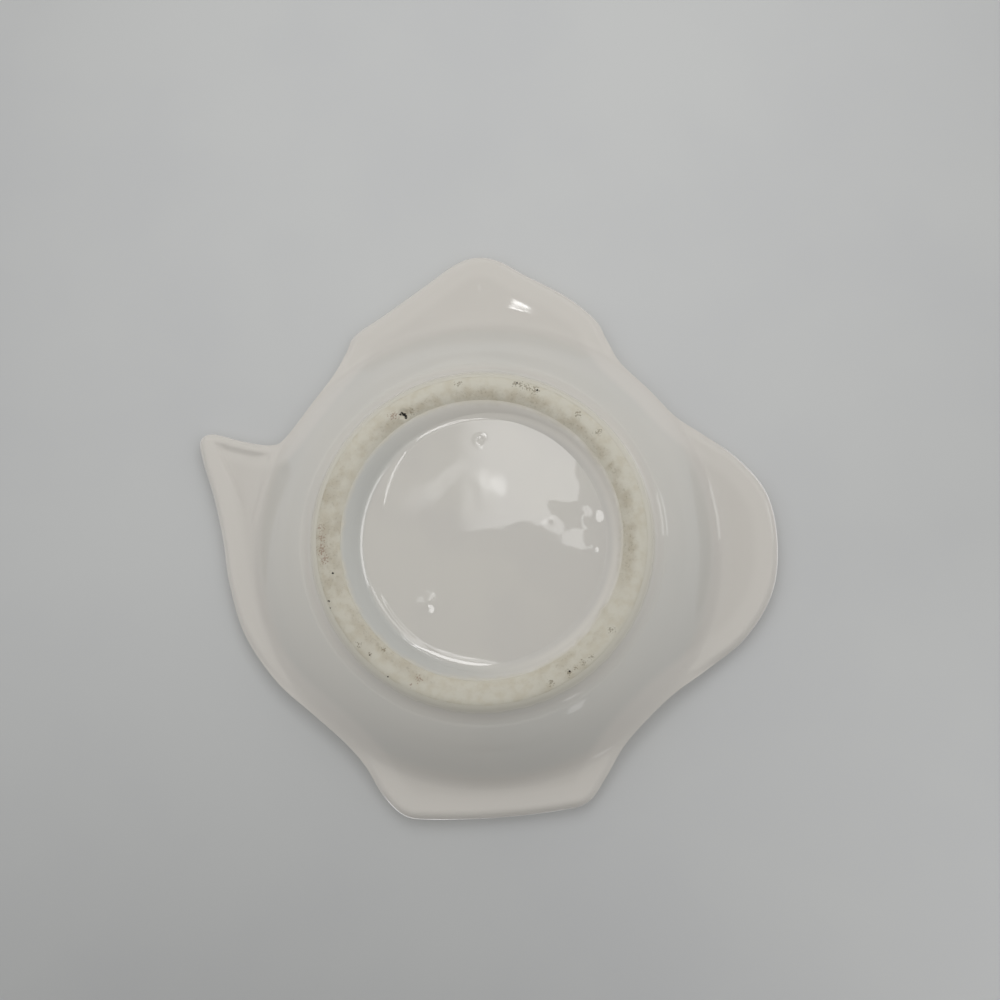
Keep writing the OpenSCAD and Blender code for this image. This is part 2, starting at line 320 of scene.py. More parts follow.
def build(name, rings, first, last, sharp, edged=False):
    """A closed mesh through a stack of rings, with a point at each end, or closed into a tube.

    The rings whose numbers are in sharp are folds, and an edged mesh notes how far its points lie
    from the outline.
    """
    n = len(rings[0])
    points = np.concatenate(rings)
    quads = []
    pairs = list(zip(range(len(rings) - 1), range(1, len(rings))))
    if first is None:
        pairs.append((len(rings) - 1, 0))
    for low, high in pairs:
        for i in range(n):
            j = (i + 1) % n
            quads.append((low * n + i, high * n + i, high * n + j, low * n + j))
    if first is not None:
        start, end = len(points), len(points) + 1
        points = np.concatenate([points, [first, last]])
        for i in range(n):
            j = (i + 1) % n
            quads.append((start, i, j))
            top = (len(rings) - 1) * n
            quads.append((top + i, end, top + j))
    mesh = bpy.data.meshes.new(name)
    mesh.from_pydata((points * MM).tolist(), [], quads)
    mesh.validate()
    mesh.shade_smooth()
    ends = np.empty(len(mesh.edges) * 2, int)
    mesh.edges.foreach_get("vertices", ends)
    at = ends.reshape(-1, 2) // n
    fold = mesh.attributes.new("sharp_edge", "BOOLEAN", "EDGE")
    fold.data.foreach_set("value", (at[:, 0] == at[:, 1]) & np.isin(at[:, 0], sharp))
    from_edge = edge_distance(points[:, :2]) if edged else np.zeros(len(points))
    rim = mesh.attributes.new("rim_edge", "FLOAT", "POINT")
    rim.data.foreach_set("value", from_edge.astype(np.float32))
    piece = bpy.data.objects.new(name, mesh)
    bpy.context.scene.collection.objects.link(piece)
    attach(piece, "root")
    return piece


# Small faults of the clay and glaze, found in the photograph: x, y and size. Around each hollow runs a
# low lip, at a share of its size and with a spread.
CRATER = (13.5, 24.2, 1.15)
CRATER_DEPTH = 0.45
CRATER_NARROW = 1.3
CRATER_LIP = 0.07
CRATER_LIP_AT = (1.15, 0.35)
DIMPLE = (-0.58, 18.97, 0.75)
DIMPLE_DEPTH = 0.10
DIMPLE_NARROW = 2.5
DIMPLE_LIP = 0.03
DIMPLE_LIP_AT = (1.3, 0.4)
# Bumps in the recess's glaze: x, y, size and height
RECESS_BUMPS = [(10.6, -11.25, 1.6, 0.16), (-21.0, 3.3, 1.5, 0.06), (-20.6, -3.05, 0.9, 0.035)]
# A slow wave under the lid, on its spout side: x, y, its two widths and its height
LID_WAVE = (8.9, 43.6, 6.0, 4.0, 0.04)
# Unevenness of glaze and clay: the size of its features and a seed, after its height
GLAZE_WAVE_H = 0.006
GLAZE_WAVE = (16.0, 3.0)
GLAZE_WAVE_FROM_R = (31, 36)
RECESS_WAVE_H = 0.018
RECESS_WAVE = (9.0, 11.0)
RECESS_RIPPLE_H = 0.003
RECESS_RIPPLE = (2.3, 5.0)
CLAY_GRAIN_H = 0.02
CLAY_GRAIN = (1.1, 7.0)
CLAY_WAVE_H = 0.03
CLAY_WAVE = (4.0, 9.0)
# Backs of the three shells, hidden between dish, foot and recess: radius and height
HIDDEN_Z = RECESS_H + 0.35
DISH_BACK = [(RECESS_FLOOR_R - 1.2, HIDDEN_Z), (BARE_INNER_R - 0.1, BARE_H + 0.9),
             (BARE_INNER_R + 0.4, BARE_H + 0.5), (BARE_OUTER_R - 0.5, BARE_H + 0.5),
             (BARE_OUTER_R - 0.25, BARE_H + 0.15)]
FOOT_BACK = [(BARE_INNER_R + 0.15, BARE_H + 0.45), (BARE_OUTER_R - 0.35, BARE_H + 0.45)]
RECESS_BACK = [(BARE_INNER_R + 0.1, BARE_H + 0.3), (RECESS_FLOOR_R - 1.0, HIDDEN_Z - 0.05)]


def glazed_dish():
    """Rim, bowl and well, closed inside just over the foot ring and the recess."""
    under = under_rings()
    body = np.array(under + over_rings())
    x, y, wide, high, rise = LID_WAVE
    away = ((body[..., 0] - x) / wide) ** 2 + ((body[..., 1] - y) / high) ** 2
    body[:len(under), :, 2] -= rise * np.exp(-away[:len(under)] / 2)
    r = np.hypot(body[..., 0], body[..., 1])
    body[..., 2] += GLAZE_WAVE_H * wobble(body, *GLAZE_WAVE) * ease(r, *GLAZE_WAVE_FROM_R)
    back = [ring(SPOKES * r, z) for r, z in DISH_BACK]
    ends = (0, 0, HIDDEN_Z), (0, 0, WELL_FLOOR_Z)
    return build("glazed_dish", back + list(body), *ends, [len(back)], True)


def bare_foot():
    """The wiped band of fired clay that the dish stands on."""
    around = polar(1.0, np.arange(AROUND_FOOT) * 360 / AROUND_FOOT)
    rs = np.linspace(CREST[-1][0], CREST[0][0], CREST_RINGS)
    rings = []
    for r, z in zip(rs, smooth_table(CREST, rs)):
        points = around * r
        away = away_from(points, *CRATER)
        pit = CRATER_DEPTH * np.exp(-(away * CRATER_NARROW) ** 4)
        pit = pit - CRATER_LIP * lip(away, *CRATER_LIP_AT)
        grain = CLAY_GRAIN_H * np.abs(wobble(points, *CLAY_GRAIN))
        grain = grain + CLAY_WAVE_H * np.abs(wobble(points, *CLAY_WAVE))
        rings.append(ring(points, np.maximum(z + pit + grain, 0.0)))
    rings += [ring(around * r, z) for r, z in FOOT_BACK]
    return build("bare_foot", rings[::-1], None, None, [2, len(rings) - 1])


def turned_by(azimuth, centre):
    """Degrees from a centre azimuth, the short way round."""
    return (azimuth - centre + 180) % 360 - 180


def recess_floor_z(points):
    """The recess's floor with its dimple, bumps, slow waves and the glaze gathered along its edge."""
    z = np.full(points.shape[:-1], RECESS_H)
    z += RECESS_WAVE_H * wobble(points, *RECESS_WAVE) + RECESS_RIPPLE_H * wobble(points, *RECESS_RIPPLE)
    from_centre = points - RECESS_CENTRE
    r = np.hypot(from_centre[..., 0], from_centre[..., 1])
    azimuth = np.degrees(np.arctan2(from_centre[..., 1], from_centre[..., 0]))
    fillet_r = np.full_like(r, EDGE_FILLET_R)
    for centre, spread, change in EDGE_POOLS:
        fillet_r += change * np.exp(-(turned_by(azimuth, centre) / spread) ** 4)
    into = np.clip(r - (RECESS_FLOOR_R - EDGE_SLOPE * fillet_r), 0, None)
    z -= into ** 2 / (2 * fillet_r)
    for (low, low_r), (high, high_r), height in GLAZE_STEPS:
        along = np.clip(turned_by(azimuth, low) / (high - low), -1, 2)
        line = low_r + (high_r - low_r) * ease(along, 0, 1)
        fade = ease(along, *STEP_RISE) * (1 - ease(along, *STEP_FADE))
        z -= height * fade * ease(r, line - STEP_HALF_W, line + STEP_HALF_W)
    away = away_from(points, *DIMPLE)
    z += DIMPLE_DEPTH * np.exp(-away ** 2 * DIMPLE_NARROW) - DIMPLE_LIP * lip(away, *DIMPLE_LIP_AT)
    for x, y, size, height in RECESS_BUMPS:
        z -= height * np.exp(-away_from(points, x, y, size) ** 2)
    return z


def recess_patch():
    """The separate patch of glaze inside the foot ring."""
    around = polar(1.0, np.arange(AROUND_RECESS) * 360 / AROUND_RECESS)
    edge = RECESS_CENTRE + around * RECESS_FLOOR_R
    rim = around * BARE_INNER_R
    even = shares(RECESS_FLOOR_RINGS)
    rings = []
    for share in np.concatenate([even * (1 - FINE_SHARE), 1 - FINE_SHARE + even * FINE_SHARE]):
        points = RECESS_CENTRE + around * RECESS_FLOOR_R * share
        rings.append(ring(points, recess_floor_z(points)))
    floor = recess_floor_z(edge)
    for share in shares(RECESS_SIDE_RINGS, SIDE_CROWDING):
        points = edge + (rim - edge) * share
        drop = smooth_table(RECESS_SIDE, np.full(AROUND_RECESS, share))
        rings.append(ring(points, floor + (RECESS_SIDE_END_Z - floor) * drop))
    side_end = len(rings) - 1
    rings += [ring(around * r, z) for r, z in RECESS_BACK]
    first = (*RECESS_CENTRE, float(recess_floor_z(RECESS_CENTRE[None])[0]))
    return build("recess_patch", rings, first, (0, 0, RECESS_BACK[-1][1]), [side_end])


def tone(red, green, blue):
    """A colour as a screen shows it, in the linear values that nodes take."""
    values = [v / 255 for v in (red, green, blue)]
    return tuple(v / 12.92 if v <= 0.04045 else ((v + 0.055) / 1.055) ** 2.4 for v in values) + (1.0,)


class Finish:
    """A short way to write a material's nodes. Sizes are in millimetres."""

    def __init__(self, name, **uniform):
        self.material = bpy.data.materials.new(name)
        self.material.use_nodes = True
        self.nodes = self.material.node_tree.nodes
        self.shader = self.nodes["Principled BSDF"]
        self.place = self.add("ShaderNodeTexCoord").outputs["Object"]
        for socket, value in uniform.items():
            self.shader.inputs[socket].default_value = value

    def add(self, kind, **settings):
        node = self.nodes.new(kind)
        for key, value in settings.items():
            setattr(node, key, value)
        return node

    def link(self, source, target):
        if isinstance(source, bpy.types.NodeSocket):
            self.material.node_tree.links.new(source, target)
        else:
            target.default_value = source

    def noise(self, feature, detail=2.0):
        node = self.add("ShaderNodeTexNoise")
        node.inputs["Scale"].default_value = 1 / (feature * MM)
        node.inputs["Detail"].default_value = detail
        self.link(self.place, node.inputs["Vector"])
        return node.outputs["Fac"]

    def math(self, operation, a, b, c=0.0):
        node = self.add("ShaderNodeMath", operation=operation)
        for source, target in zip((a, b, c), node.inputs):
            self.link(source, target)
        return node.outputs[0]

    def times(self, a, b):
        return self.math("MULTIPLY", a, b)

    def span(self, value, low, high, to_low=0.0, to_high=1.0):
        """Goes smoothly from one value to another while the first goes from low to high."""
        node = self.add("ShaderNodeMapRange", interpolation_type="SMOOTHSTEP")
        for source, target in zip((value, low, high, to_low, to_high), node.inputs):
            self.link(source, target)
        return node.outputs["Result"]

    def fade(self, value, low, high):
        """Falls smoothly from 1 to 0 between two values."""
        return self.span(value, low, high, 1.0, 0.0)

    def ragged(self, value, feature, detail, reach):
        """A value torn by noise, by half its reach either way."""
        torn = self.math("MULTIPLY_ADD", self.noise(feature, detail), reach, -reach / 2)
        return self.math("ADD", value, torn)

    def axis(self, name):
        split = self.add("ShaderNodeSeparateXYZ")
        self.link(self.place, split.inputs[0])
        return split.outputs[name]

    def flat(self):
        """The place seen from straight above, with no height."""
        joined = self.add("ShaderNodeCombineXYZ")
        self.link(self.axis("X"), joined.inputs["X"])
        self.link(self.axis("Y"), joined.inputs["Y"])
        return joined.outputs[0]

    def mix(self, share, a, b):
        node = self.add("ShaderNodeMix", data_type="RGBA")
        self.link(share, node.inputs[0])
        self.link(a, node.inputs[6])
        self.link(b, node.inputs[7])
        return node.outputs[2]

    def distance(self, x, y, z, place=None):
        """Millimetres from a point of the part."""
        node = self.add("ShaderNodeVectorMath", operation="DISTANCE")
        self.link(place or self.place, node.inputs[0])
        node.inputs[1].default_value = (x * MM, y * MM, z * MM)
        return self.times(node.outputs["Value"], 1 / MM)

    def bump(self, height, depth):
        node = self.add("ShaderNodeBump")
        node.inputs["Distance"].default_value = depth * MM
        self.link(height, node.inputs["Height"])
        self.link(node.outputs["Normal"], self.shader.inputs["Normal"])

    def colour(self, source):
        self.link(source, self.shader.inputs["Base Color"])


# Glaze outside the foot ring, its cooler tint on the bowl, its tints at the foot and on the rim,
# and the painted sheen that lightens it along the outline
GLAZE = tone(203, 200, 193)
GLAZE_THIN = tone(206, 202, 194)
GLAZE_COOL = tone(199, 200, 196)
GLAZE_CREAM = tone(206, 202, 189)
GLAZE_RIM = tone(207, 203, 196)
GLAZE_EDGE_SHEEN = tone(211, 207, 200)
# Glaze in the recess: its floor, the painted light and shade on its side from one end to the other, and
# where it thins at the foot
POOL = tone(197, 194, 188)
POOL_THIN = tone(200, 197, 190)
BAND_PAINTED_SHADE = tone(188, 188, 183)
BAND_PAINTED_LIGHT = tone(217, 213, 205)
CLAY_INNER = tone(196, 190, 174)
# Radii between which the glaze's tints and its painted sheen and shade come and go, but EDGE_SHEEN_OUT
# counts from the outline, FOOT_TOP is a height, and SIDE_SHADE_ACROSS runs across the recess and leans
# back over its upper half
BOWL_IN = (32.5, 35.0)
BOWL_OUT = (42.0, 46.0)
BOWL_STRENGTH = 0.3
RIM_IN = (43.0, 45.2)
EDGE_SHEEN_OUT = (3.6, 5.8)
FOOT_OUT = (31.3, 32.5)
FOOT_TOP = (2.5 * MM, 4.0 * MM)
SIDE_IN = (RECESS_FLOOR_R - 0.9, RECESS_FLOOR_R + 0.5)
SIDE_SHADE_ACROSS = (-20.0, 18.0)
SIDE_SHADE_LEAN = -0.6
INNER_FOOT_IN = (25.2, 26.8)
# Middle stretch of a noise's values, which mixes two tints in soft clouds, and the clouds' sizes
CLOUD = (0.35, 0.65)
GLAZE_CLOUD = 26.0
POOL_CLOUD = 14.0
# How noise tears the glaze's edge outside the foot and inside it: its features, detail and reach
OUTER_TEAR = (2.5, 2.0, 0.6)
INNER_TEAR = (2.5, 3.0, 1.6)
# Gloss: the glaze's own roughness, and what is added where it thins at the foot
GLASS_IOR = 1.5
GLAZE_ROUGH = 0.035
GLAZE_ROUGH_AT_FOOT = 0.4
POOL_ROUGH = 0.02
POOL_ROUGH_AT_FOOT = 0.5


def dish_finish():
    """Glossy creamy glaze, cooler where it pools on the bowl and creamier where it thins at the foot."""
    finish = Finish("glaze_finish", IOR=GLASS_IOR)
    radius = finish.distance(0, 0, 0, finish.flat())
    colour = finish.mix(finish.span(finish.noise(GLAZE_CLOUD), *CLOUD), GLAZE, GLAZE_THIN)
    on_bowl = finish.times(finish.span(radius, *BOWL_IN), finish.fade(radius, *BOWL_OUT))
    colour = finish.mix(finish.times(on_bowl, BOWL_STRENGTH), colour, GLAZE_COOL)
    colour = finish.mix(finish.span(radius, *RIM_IN), colour, GLAZE_RIM)
    rim_edge = finish.add("ShaderNodeAttribute", attribute_name="rim_edge").outputs["Fac"]
    # Painted sheen: the glaze is lighter along the outline's rounded edge
    colour = finish.mix(finish.fade(rim_edge, *EDGE_SHEEN_OUT), colour, GLAZE_EDGE_SHEEN)
    at_foot = finish.fade(finish.ragged(radius, *OUTER_TEAR), *FOOT_OUT)
    at_foot = finish.times(at_foot, finish.fade(finish.axis("Z"), *FOOT_TOP))
    finish.colour(finish.mix(at_foot, colour, GLAZE_CREAM))
    rough = finish.math("MULTIPLY_ADD", at_foot, GLAZE_ROUGH_AT_FOOT, GLAZE_ROUGH)
    finish.link(rough, finish.shader.inputs["Roughness"])
    return finish.material


def recess_finish():
    """The same glaze in the recess, with painted shade at one end of its side and painted light at the
    other.
    """
    finish = Finish("recess_glaze_finish", IOR=GLASS_IOR)
    x, y = RECESS_CENTRE
    radius = finish.distance(x, y, 0, finish.flat())
    colour = finish.mix(finish.span(finish.noise(POOL_CLOUD), *CLOUD), POOL, POOL_THIN)
    # Painted light and shade on the recess's side: lighter at one end and over its upper half, darker at
    # the other end
    upper = finish.math("MAXIMUM", finish.axis("Y"), 0.0)
    across = finish.math("MULTIPLY_ADD", upper, SIDE_SHADE_LEAN, finish.axis("X"))
    side = finish.mix(finish.span(finish.times(across, 1 / MM), *SIDE_SHADE_ACROSS), BAND_PAINTED_LIGHT, BAND_PAINTED_SHADE)
    colour = finish.mix(finish.span(radius, *SIDE_IN), colour, side)
    from_foot = finish.ragged(finish.distance(0, 0, 0, finish.flat()), *INNER_TEAR)
    at_foot = finish.span(from_foot, *INNER_FOOT_IN)
    finish.colour(finish.mix(at_foot, colour, CLAY_INNER))
    rough = finish.math("MULTIPLY_ADD", at_foot, POOL_ROUGH_AT_FOOT, POOL_ROUGH)
    finish.link(rough, finish.shader.inputs["Roughness"])
    return finish.material


# Bare clay: its two shades, its stain, the kiln's marks, the black dots, and how matt it is
CLAY = tone(206, 202, 188)
CLAY_WORN = tone(200, 194, 177)
CLAY_STAIN = tone(166, 156, 136)
CLAY_BROWN = tone(116, 104, 80)
CLAY_RED = tone(136, 102, 84)
CLAY_BLACK = tone(24, 20, 16)
CLAY_ROUGH = 0.62

# Stained stretches of the foot ring's inner and outer half: azimuth in degrees, half width and strength
STAINED = [(152.0, 50.0, 1.0), (104.0, 26.0, 0.85), (236.0, 14.0, 0.6), (354.0, 26.0, 0.8),
           (318.0, 26.0, 0.7), (60.0, 22.0, 0.85)]
STAINED_OUTSIDE = [(2.0, 20.0, 0.9), (20.0, 14.0, 0.6), (330.0, 14.0, 0.3), (240.0, 12.0, 0.3)]
STAINED_LEAST = 0.2
STAIN_STRENGTH = 0.58
FINE_STRENGTH = 0.3
# Shares of a stretch's half width at which it is gone and at which it is full
STRETCH_END = 1.35
STRETCH_FULL = 0.5
# Radii between which the stain of each half comes and goes; the inner half's starts from a share
INNER_STAIN_IN = (25.6, 27.8, 0.35)
INNER_STAIN_OUT = (27.4, 29.2)
OUTER_STAIN_IN = (27.2, 28.6)
OUTER_STAIN_OUT = (30.6, 31.6)
STAIN_TEAR = (2.6, 4.0, 2.6)
# Noises for the clay's worn shade, its stain's patches, its fine grain and its specks: feature size and
# detail, then the values between which each shows; the stain keeps a share between its patches
WORN_NOISE = (2.0, 3.0)
WORN = (0.4, 0.7)
PATCH_NOISE = (4.0, 3.0)
STAIN_PATCHES = (0.36, 0.6, 0.35)
FINE_NOISE = (0.45, 3.0)
FINE_GRAIN = (0.55, 0.66)
SPECK_NOISE = (0.32, 2.0)
# The clay's roughness to the touch, and its depth
TOOTH_NOISE = (0.5, 4.0)
TOOTH_DEPTH = 0.05
# Small marks left by the kiln, as clusters of specks: place in the part's frame, radius and colour
MARKS = [(15.4, 23.8, 1.0, CLAY_RED), (11.9, 24.6, 0.8, CLAY_BROWN), (-7.6, 28.7, 0.7, CLAY_BROWN),
         (-8.8, 28.3, 0.8, CLAY_BROWN), (-10.1, 27.9, 0.8, CLAY_BROWN), (-11.4, 27.3, 0.9, CLAY_BROWN),
         (2.9, 29.4, 0.7, CLAY_BROWN), (-19.1, 22.2, 0.8, CLAY_BROWN), (-22.7, 18.5, 0.7, CLAY_BROWN),
         (-29.8, 8.2, 0.5, CLAY_BROWN), (29.6, 3.4, 0.9, CLAY_RED), (29.5, 1.4, 0.8, CLAY_RED),
         (29.4, -0.8, 1.1, CLAY_RED), (29.0, -2.6, 1.0, CLAY_RED), (27.4, 17.0, 0.8, CLAY_BROWN),
         (23.1, -18.6, 0.6, CLAY_BROWN), (21.0, -20.3, 0.4, CLAY_BROWN), (18.6, -19.6, 0.5, CLAY_BROWN),
         (12.4, -25.1, 0.7, CLAY_RED), (13.9, -26.3, 0.4, CLAY_RED), (-22.8, -18.1, 0.7, CLAY_BROWN),
         (-18.9, -22.8, 0.5, CLAY_BROWN), (-17.5, -23.7, 0.6, CLAY_BROWN), (-16.0, -24.7, 0.5, CLAY_BROWN),
         (-14.7, -25.4, 0.6, CLAY_BROWN), (-11.4, -27.0, 0.6, CLAY_BROWN)]
# A speck shows where its noise, less a fall with the distance from the mark, passes these values
MARK_SPECKS = (0.37, 0.45)
MARK_STRENGTH = 0.55
MARK_FALL = -0.2
# Black dots with torn edges: place and radius
DOTS = [(14.1, 24.1, 0.26), (13.75, 24.3, 0.32), (13.35, 24.15, 0.34), (13.1, 23.8, 0.32),
        (13.1, 23.4, 0.24), (30.8, 6.1, 0.22), (30.9, 2.7, 0.24), (27.5, -5.2, 0.24),
        (28.5, -10.3, 0.22), (28.3, -11.6, 0.2), (18.0, -24.5, 0.2), (-22.3, 12.6, 0.22),
        (-14.9, -25.2, 0.22), (21.2, -20.5, 0.2), (-8.1, 28.9, 0.18), (-11.8, 27.2, 0.2)]
# How far noise tears a dot's edge, and the share of its radius within which it is full
DOT_TEAR = 0.7
DOT_FULL = 0.6


def clay_finish():
    """Bare fired porcelain: cream, stained along its inner half, with marks left by the kiln."""
    finish = Finish("fired_clay_finish", Roughness=CLAY_ROUGH, IOR=GLASS_IOR)
    flat = finish.flat()
    ragged = finish.ragged(finish.distance(0, 0, 0, flat), *STAIN_TEAR)
    heading = finish.add("ShaderNodeVectorMath", operation="NORMALIZE")
    finish.link(flat, heading.inputs[0])

    def sectors(table, least):
        """How strongly each heading is stained."""
        stained = least
        for azimuth, half, strength in table:
            dot = finish.add("ShaderNodeVectorMath", operation="DOT_PRODUCT")
            finish.link(heading.outputs[0], dot.inputs[0])
            dot.inputs[1].default_value = (*polar(1.0, azimuth), 0)
            near = finish.span(dot.outputs["Value"], math.cos(math.radians(half * STRETCH_END)),
                               math.cos(math.radians(half * STRETCH_FULL)), 0.0, strength)
            stained = finish.math("MAXIMUM", stained, near)
        return stained

    inner = finish.times(finish.span(ragged, *INNER_STAIN_IN), finish.fade(ragged, *INNER_STAIN_OUT))
    outer = finish.times(finish.span(ragged, *OUTER_STAIN_IN), finish.fade(ragged, *OUTER_STAIN_OUT))
    stain = finish.math("MAXIMUM", finish.times(inner, sectors(STAINED, STAINED_LEAST)),
                        finish.times(outer, sectors(STAINED_OUTSIDE, 0.0)))
    stain = finish.times(stain, finish.span(finish.noise(*PATCH_NOISE), *STAIN_PATCHES))
    colour = finish.mix(finish.span(finish.noise(*WORN_NOISE), *WORN), CLAY, CLAY_WORN)
    colour = finish.mix(finish.times(stain, STAIN_STRENGTH), colour, CLAY_STAIN)
    fine = finish.times(finish.span(finish.noise(*FINE_NOISE), *FINE_GRAIN), stain)
    colour = finish.mix(finish.times(fine, FINE_STRENGTH), colour, CLAY_BROWN)
    speck = finish.noise(*SPECK_NOISE)
    for x, y, size, mark in MARKS:
        away = finish.math("MULTIPLY_ADD", finish.distance(x, y, 0, flat), MARK_FALL / size, speck)
        colour = finish.mix(finish.span(away, *MARK_SPECKS, 0.0, MARK_STRENGTH), colour, mark)
    torn = finish.math("MULTIPLY_ADD", speck, DOT_TEAR, -DOT_TEAR / 2)
    for x, y, size in DOTS:
        away = finish.math("ADD", finish.distance(x, y, 0, flat), torn)
        colour = finish.mix(finish.fade(away, size * DOT_FULL, size), colour, CLAY_BLACK)
    finish.colour(colour)
    finish.bump(finish.noise(*TOOTH_NOISE), TOOTH_DEPTH)
    return finish.material


def dress(piece, node, material):
    """Gives a piece its material and hides the solid that it stands for."""
    piece.data.materials.append(material)
    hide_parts(node)


DISH, FOOT, RECESS = glazed_dish(), bare_foot(), recess_patch()
dress(DISH, "glaze_coat", dish_finish())
dress(FOOT, "clay_body", clay_finish())
dress(RECESS, "recess_glaze", recess_finish())

# The photograph's own frame: right and up on the paper and towards the lens, round the picture's centre
PAPER_Z = TOTAL_H
DISH_TURN = 3.09
DISH_SHIFT = (-2.75, -10.02)
LENS_DISTANCE = 240.0
LENS_TILT = 10.0
LENS_AZIMUTH = 13.0
LENS_MM = 43.2
SENSOR_MM = 36.0


def from_photo(right, up, towards):
    """A place in the photograph's frame, given in the part's frame, in metres."""
    x, y = right - DISH_SHIFT[0], up - DISH_SHIFT[1]
    turn = math.radians(DISH_TURN)
    across = x * math.cos(turn) + y * math.sin(turn)
    along = -x * math.sin(turn) + y * math.cos(turn)
    return Vector((-across, along, PAPER_Z - towards)) * MM


def aimed(obj, place, target, right=None):
    """Puts a camera or lamp at a place and turns it to a target."""
    back = (place - target).normalized()
    if right is None:
        obj.matrix_world = Matrix.Translation(place) @ back.to_track_quat("Z", "Y").to_matrix().to_4x4()
        return
    up = back.cross(right).normalized()
    across = up.cross(back).normalized()
    turned = Matrix((across, up, back)).transposed().to_4x4()
    obj.matrix_world = Matrix.Translation(place) @ turned


def camera():
    """The photograph's camera, fitted to its perspective."""
    data = bpy.data.cameras.new("camera")
    data.lens = LENS_MM
    data.sensor_width = SENSOR_MM
    obj = bpy.data.objects.new("camera", data)
    bpy.context.scene.collection.objects.link(obj)
    tilt, azimuth = math.radians(LENS_TILT), math.radians(LENS_AZIMUTH)
    lean = LENS_DISTANCE * math.sin(tilt)
    place = from_photo(lean * math.sin(azimuth), -lean * math.cos(azimuth), LENS_DISTANCE * math.cos(tilt))
    target = from_photo(0, 0, 0)
    level = (from_photo(1, 0, 0) - target).normalized()
    aimed(obj, place, target, level)
    data.clip_start = 0.01
    data.clip_end = 20
    bpy.context.scene.camera = obj


camera()

# Stage: the paper's two greys in soft clouds, the floor that pales with distance, and the backdrop
PAPER_TONE = tone(200, 201, 201)
PAPER_PALE_TONE = tone(203, 204, 203)
PAPER_NOISE = (40.0, 3.0)
PAPER_CLOUD = (0.3, 0.7)
FLOOR_TONE = tone(200, 201, 201)
FLOOR_FAR_TONE = tone(236, 237, 237)
FLOOR_PALES = (250.0, 2200.0)
BACKDROP_TONE = tone(190, 192, 192)
SHEET_ROUGH = 0.9
SHEET_SHINE = 0.1
PAPER_HALF = 1500
FLOOR_HALF = 6000


def one_sided(name, colour):
    """A matt sheet that shows only the side it faces with."""
    finish = Finish(name, Roughness=SHEET_ROUGH)
    finish.shader.inputs["Specular IOR Level"].default_value = SHEET_SHINE
    finish.colour(colour(finish))
    clear = finish.add("ShaderNodeBsdfTransparent")
    choice = finish.add("ShaderNodeMixShader")
    finish.link(finish.add("ShaderNodeNewGeometry").outputs["Backfacing"], choice.inputs[0])
    finish.link(finish.shader.outputs[0], choice.inputs[1])
    finish.link(clear.outputs[0], choice.inputs[2])
    finish.link(choice.outputs[0], finish.nodes["Material Output"].inputs["Surface"])
    return finish.material


def sheet(name, z, half, facing_up, material):
    """A flat square for the stage, which neither lights nor shades the dish."""
    corners = [(-half, -half, z), (half, -half, z), (half, half, z), (-half, half, z)]
    if not facing_up:
        corners.reverse()
    mesh = bpy.data.meshes.new(name)
    mesh.from_pydata((np.array(corners) * MM).tolist(), [], [(0, 1, 2, 3)])
    mesh.materials.append(material)
    obj = bpy.data.objects.new(name, mesh)
    bpy.context.scene.collection.objects.link(obj)
    obj.visible_diffuse = False
    obj.visible_glossy = False
    obj.visible_transmission = False
    obj.visible_shadow = False


# Painted light and shade on the paper: it is lighter towards the picture's right, has painted shade below
# and is lightest towards its lower right
PAPER_SHADE_REACH = 90.0
PAPER_SHADE_LOW = -0.06
PAPER_SHADE_TILT = 0.162
PAPER_SHADE_CURL = 0.133
PAPER_LIGHT_RIGHT = 0.06


def paper_colour_and_painted_shade(finish):
    """Two greys in soft clouds, with painted light and shade that change with the place on the paper."""
    cloud = finish.span(finish.noise(*PAPER_NOISE), *PAPER_CLOUD)
    colour = finish.mix(cloud, PAPER_TONE, PAPER_PALE_TONE)
    per_reach = -1 / (PAPER_SHADE_REACH * MM)
    right = finish.times(finish.axis("X"), per_reach)
    # Painted shade below the paper's middle, lifting towards the right, and painted light towards the right
    down = finish.math("MAXIMUM", finish.times(finish.axis("Y"), per_reach), 0.0)
    shade_bend = finish.math("MULTIPLY_ADD", right, PAPER_SHADE_CURL, PAPER_SHADE_TILT)
    shade_bend = finish.math("MULTIPLY_ADD", right, shade_bend, PAPER_SHADE_LOW)
    level = finish.math("MULTIPLY_ADD", finish.math("MAXIMUM", right, 0.0), PAPER_LIGHT_RIGHT, 1.0)
    scale = finish.add("ShaderNodeVectorMath", operation="SCALE")
    finish.link(colour, scale.inputs[0])
    finish.link(finish.math("MULTIPLY_ADD", down, shade_bend, level), scale.inputs["Scale"])
    return scale.outputs[0]


def floor_colour(finish):
    """The floor pales with distance, so that it meets the backdrop softly."""
    far = finish.span(finish.distance(0, 0, 0), *FLOOR_PALES)
    return finish.mix(far, FLOOR_TONE, FLOOR_FAR_TONE)


sheet("paper", PAPER_Z, PAPER_HALF, False, one_sided("paper_finish", paper_colour_and_painted_shade))
sheet("floor", 0, FLOOR_HALF, True, one_sided("floor_finish", floor_colour))


def lamp(name, place, target, width, strength, height=None, right=None):
    """A soft lamp whose face has the given strength, where 1 is a white surface in full light."""
    data = bpy.data.lights.new(name, "AREA")
    data.shape = "RECTANGLE"
    data.size = width * MM
    data.size_y = (height or width) * MM
    data.energy = strength * math.pi * data.size * data.size_y
    obj = bpy.data.objects.new(name, data)
    bpy.context.scene.collection.objects.link(obj)
    obj.visible_camera = False
    aimed(obj, place, target, right)
    return obj


# The window's plane lies this far before the paper, and its panes face the dish's middle
WINDOW_AWAY = 1515
CENTRE = from_photo(-3, -10, 0)


